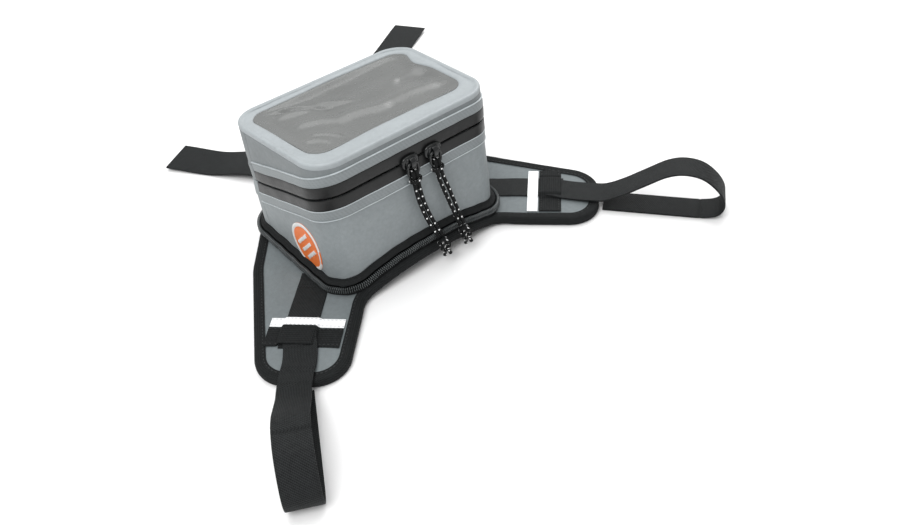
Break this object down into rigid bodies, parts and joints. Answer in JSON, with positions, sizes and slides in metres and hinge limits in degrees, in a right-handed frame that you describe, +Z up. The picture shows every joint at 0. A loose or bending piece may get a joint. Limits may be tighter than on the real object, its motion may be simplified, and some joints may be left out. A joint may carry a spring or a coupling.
{
  "type": "tank bag",
  "caption": "Zip-lidded dry tank bag with a clear-topped lid, zipped to an arched padded harness with folding wings, strap loops and webbing straps.",
  "frame": {"origin": "on the flat plane that the wings lie on, below the middle of the pod", "axes": "+X to the right end of the pod, +Y to the back where the lid is hinged, +Z up"},
  "size_m": [0.4667, 0.4966, 0.1242],
  "materials": {
    "grey_fabric": "coated matt fabric",
    "pod_wall": "welded matt laminate",
    "frame_fabric": "welded satin laminate",
    "binding": "ribbed woven tape",
    "webbing": "ribbed webbing",
    "elastic": "woven elastic",
    "zip_tape": "water-resistant film on woven tape",
    "coil": "nylon coil",
    "reflective": "reflective tape",
    "foam": "closed-cell foam",
    "grip": "anti-slip print",
    "board": "stiff sheet",
    "liner": "lining",
    "film": "clear flexible film",
    "slider": "black enamel",
    "cord": "braided cord with light flecks",
    "badge": "moulded badge"
  },
  "bodies": {
    "harness": {"saddle_underside": "grip", "saddle_core": "foam", "saddle_skin": "grey_fabric", "saddle_binding": "binding", "base_zip_lower_tape": "zip_tape", "base_zip_lower_coil": "coil", "left_strap_root": "webbing", "right_strap_root": "webbing"},
    "left_wing": {"left_wing_underside": "grip", "left_wing_core": "foam", "left_wing_skin": "grey_fabric", "left_wing_binding": "binding", "left_wing_webbing": "webbing", "left_reflective_strip": "reflective", "left_strap_keeper": "elastic"},
    "left_loop": {"left_strap_loop": "webbing"},
    "left_back_strap": {"left_back_strap": "webbing"},
    "left_slider": {"left_slider": "slider"},
    "left_pull": {"left_pull": "slider", "left_cord_inner": "cord", "left_cord_outer": "cord", "left_cord_knot": "cord"},
    "right_wing": {"right_wing_underside": "grip", "right_wing_core": "foam", "right_wing_skin": "grey_fabric", "right_wing_binding": "binding", "right_wing_webbing": "webbing", "right_reflective_strip": "reflective", "right_strap_keeper": "elastic"},
    "right_loop": {"right_strap_loop": "webbing"},
    "right_back_strap": {"right_back_strap": "webbing"},
    "right_slider": {"right_slider": "slider"},
    "right_pull": {"right_pull": "slider", "right_cord_inner": "cord", "right_cord_outer": "cord", "right_cord_knot": "cord"},
    "pod": {"pod_wall": "pod_wall", "pod_board": "board", "pod_liner": "liner", "lower_zip_tape": "zip_tape", "lower_weld_tape": "frame_fabric", "hinge_tape_lower": "pod_wall", "badge": "badge", "base_zip_upper_tape": "zip_tape", "base_zip_upper_coil": "coil"},
    "lid": {"lid_wall": "pod_wall", "hinge_tape_upper": "pod_wall", "upper_zip_tape": "zip_tape", "upper_weld_tape": "frame_fabric", "lid_frame": "frame_fabric", "window_film": "film", "map_pocket_panel": "liner"},
    "base_slider": {"base_slider": "slider"},
    "base_pull": {"base_pull": "slider"}
  },
  "joints": [
    {"name": "right_wing_fold", "type": "hinge", "parent": "harness", "child": "right_wing", "pos_m": [0.095, -0.03, 0.0037], "axis": [0, 1, 0], "range_deg": [-20, 50]},
    {"name": "left_wing_fold", "type": "hinge", "parent": "harness", "child": "left_wing", "pos_m": [-0.095, -0.03, 0.0037], "axis": [0, -1, 0], "range_deg": [-20, 50]},
    {"name": "right_loop_swing", "type": "hinge", "parent": "right_wing", "child": "right_loop", "pos_m": [0.15422, -0.11462, 0.008], "axis": [-0.7071, -0.7071, 0], "range_deg": [-35, 60]},
    {"name": "left_loop_swing", "type": "hinge", "parent": "left_wing", "child": "left_loop", "pos_m": [-0.15493, -0.11391, 0.008], "axis": [-0.7071, 0.7071, 0], "range_deg": [-35, 60]},
    {"name": "left_back_strap_swing", "type": "hinge", "parent": "harness", "child": "left_back_strap", "pos_m": [-0.036, 0.143, 0.00779], "axis": [0.829, 0.5592, 0], "range_deg": [-30, 60]},
    {"name": "right_back_strap_swing", "type": "hinge", "parent": "harness", "child": "right_back_strap", "pos_m": [0.034, 0.1435, 0.00805], "axis": [0.515, -0.8572, 0], "range_deg": [-30, 60]},
    {"name": "pod_lift", "type": "slide", "parent": "harness", "child": "pod", "axis": [0, 0, 1], "range_m": [0, 0.12]},
    {"name": "lid_open", "type": "hinge", "parent": "pod", "child": "lid", "pos_m": [0, 0.0636, 0.05933], "axis": [-1, 0, 0], "range_deg": [0, 105]},
    {"name": "left_slider_travel", "type": "slide", "parent": "pod", "child": "left_slider", "axis": [1, 0, 0], "range_m": [-0.045, 0]},
    {"name": "right_slider_travel", "type": "slide", "parent": "pod", "child": "right_slider", "axis": [1, 0, 0], "range_m": [0, 0.033]},
    {"name": "left_pull_swing", "type": "hinge", "parent": "left_slider", "child": "left_pull", "pos_m": [-0.0045, -0.0688, 0.0972], "axis": [-1, 0, 0], "range_deg": [0, 95]},
    {"name": "right_pull_swing", "type": "hinge", "parent": "right_slider", "child": "right_pull", "pos_m": [0.017, -0.0688, 0.0972], "axis": [-1, 0, 0], "range_deg": [0, 95]},
    {"name": "base_slider_travel", "type": "slide", "parent": "harness", "child": "base_slider", "axis": [0, 1, 0], "range_m": [-0.06, 0]},
    {"name": "base_pull_swing", "type": "hinge", "parent": "base_slider", "child": "base_pull", "pos_m": [0.0929, 0.03, 0.0123], "axis": [0, 0, -1], "range_deg": [0, 150]}
  ]
}
